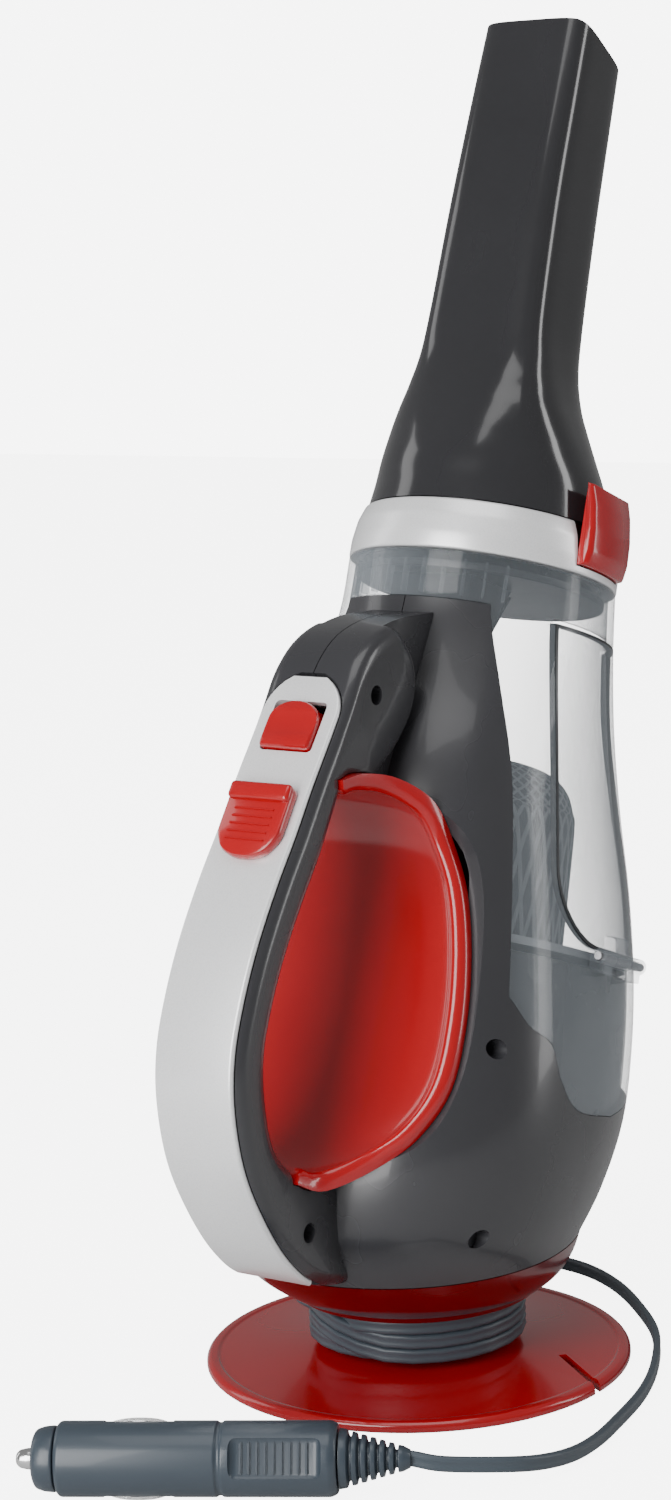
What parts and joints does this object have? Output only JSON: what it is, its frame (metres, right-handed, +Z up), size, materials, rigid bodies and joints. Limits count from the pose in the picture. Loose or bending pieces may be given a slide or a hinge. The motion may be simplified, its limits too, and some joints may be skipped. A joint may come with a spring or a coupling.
{
  "type": "handheld vacuum",
  "caption": "Corded 12 V handheld vacuum with a clear side-door dust bowl, tapered nozzle and loop handle, standing on a disc base that stores its flat cord.",
  "frame": {"origin": "centre of the flat underside of the base disc", "axes": "+Z up, the handle on the -X side, the body leaning towards +X, the bowl door on the -Y side"},
  "size_m": [0.2717, 0.1542, 0.4094],
  "materials": {
    "charcoal_abs": "glossy dark grey, lightly textured on the body",
    "red_abs": "glossy red",
    "silver_lacquer": "satin silver lacquer on plastic",
    "grey_abs": "matt mid grey",
    "smoke_abs": "satin dark grey",
    "clear_polycarbonate": "clear, lightly smoke-tinted, polished",
    "black_rubber": "matt black",
    "filter_fleece": "white pleated fleece",
    "plated_steel": "bright plated",
    "cord_pvc": "satin slate grey",
    "slate_abs": "satin slate grey",
    "fuse_glass": "clear tube"
  },
  "bodies": {
    "body": {"body_shell_left": "charcoal_abs", "body_shell_right": "charcoal_abs", "switch_body": "charcoal_abs", "motor_end_cap": "charcoal_abs", "finger_liner": "red_abs", "base_disc": "red_abs", "end_cap": "red_abs", "grip_strip": "silver_lacquer", "fan_cover": "grey_abs", "fan_base": "grey_abs", "cord_grommet": "black_rubber", "filter_seal": "black_rubber", "motor_mount": "black_rubber", "base_screw": "plated_steel", "front_bearing": "plated_steel", "rear_bearing": "plated_steel", "motor_can": "plated_steel", "motor_magnets": "plated_steel", "button_spring": "plated_steel", "body_screw_1": "plated_steel", "body_screw_2": "plated_steel", "body_screw_3": "plated_steel", "body_screw_4": "plated_steel", "plug_spring": "plated_steel", "cord_winding": "cord_pvc", "cord_free": "cord_pvc", "plug_body": "slate_abs", "plug_nose": "slate_abs", "plug_strain_relief": "slate_abs", "plug_fuse": "fuse_glass"},
    "bowl": {"dust_bowl": "clear_polycarbonate", "collar_ring": "silver_lacquer", "door_hinge_pin": "plated_steel", "catch_spring": "plated_steel", "nozzle": "charcoal_abs", "inlet_duct": "smoke_abs"},
    "door": {"bowl_door": "clear_polycarbonate"},
    "catch": {"door_catch": "red_abs"},
    "flap": {"inlet_flap": "black_rubber"},
    "filter": {"filter_frame": "grey_abs", "filter_mesh": "grey_abs", "inner_filter": "filter_fleece"},
    "button": {"release_button": "red_abs"},
    "slider": {"power_slider": "red_abs"},
    "rotor": {"motor_shaft": "plated_steel", "fan_impeller": "grey_abs", "motor_armature": "plated_steel"},
    "contact_pin": {"plug_tip": "plated_steel"},
    "side_contact_upper": {"plug_contact_upper": "plated_steel"},
    "side_contact_lower": {"plug_contact_lower": "plated_steel"}
  },
  "joints": [
    {"name": "bowl_lift", "type": "slide", "parent": "body", "child": "bowl", "axis": [0.342, 0, 0.9397], "range_m": [0, 0.12]},
    {"name": "filter_lift", "type": "slide", "parent": "body", "child": "filter", "axis": [0.342, 0, 0.9397], "range_m": [0, 0.042]},
    {"name": "door_hinge", "type": "hinge", "parent": "bowl", "child": "door", "pos_m": [0.01315, -0.0606, 0.13075], "axis": [0.9397, 0, -0.342], "range_deg": [0, 95]},
    {"name": "catch_press", "type": "slide", "parent": "bowl", "child": "catch", "axis": [-0.0164, 0.9998, 0.006], "range_m": [0, 0.001], "stiffness_N_per_m": 400, "springref_m": -0.002},
    {"name": "flap_swing", "type": "hinge", "parent": "bowl", "child": "flap", "pos_m": [0.04662, 0, 0.23265], "axis": [0, -1, 0], "range_deg": [0, 40], "stiffness_Nm_per_rad": 0.004},
    {"name": "button_press", "type": "slide", "parent": "body", "child": "button", "axis": [0.7787, 0, -0.6274], "range_m": [0, 0.0025], "stiffness_N_per_m": 500, "springref_m": -0.002},
    {"name": "power_slide", "type": "slide", "parent": "body", "child": "slider", "axis": [0.6058, 0, 0.7956], "range_m": [0, 0.005]},
    {"name": "fan_spin", "type": "hinge", "parent": "body", "child": "rotor", "pos_m": [0.01163, 0, 0.10321], "axis": [0.342, 0, 0.9397], "continuous": true},
    {"name": "pin_press", "type": "slide", "parent": "body", "child": "contact_pin", "axis": [0.4772, -0.8788, 0], "range_m": [0, 0.003], "stiffness_N_per_m": 900, "springref_m": -0.002},
    {"name": "upper_contact_press", "type": "slide", "parent": "body", "child": "side_contact_upper", "axis": [-0.3006, -0.1632, -0.9397], "range_m": [0, 0.0007], "stiffness_N_per_m": 1500, "springref_m": -0.001},
    {"name": "lower_contact_press", "type": "slide", "parent": "body", "child": "side_contact_lower", "axis": [0.3006, 0.1632, 0.9397], "range_m": [0, 0.0007], "stiffness_N_per_m": 1500, "springref_m": -0.001}
  ],
  "couplings": [
    {"joint": "filter_lift", "follows": "bowl_lift", "ratio": 0.35}
  ]
}
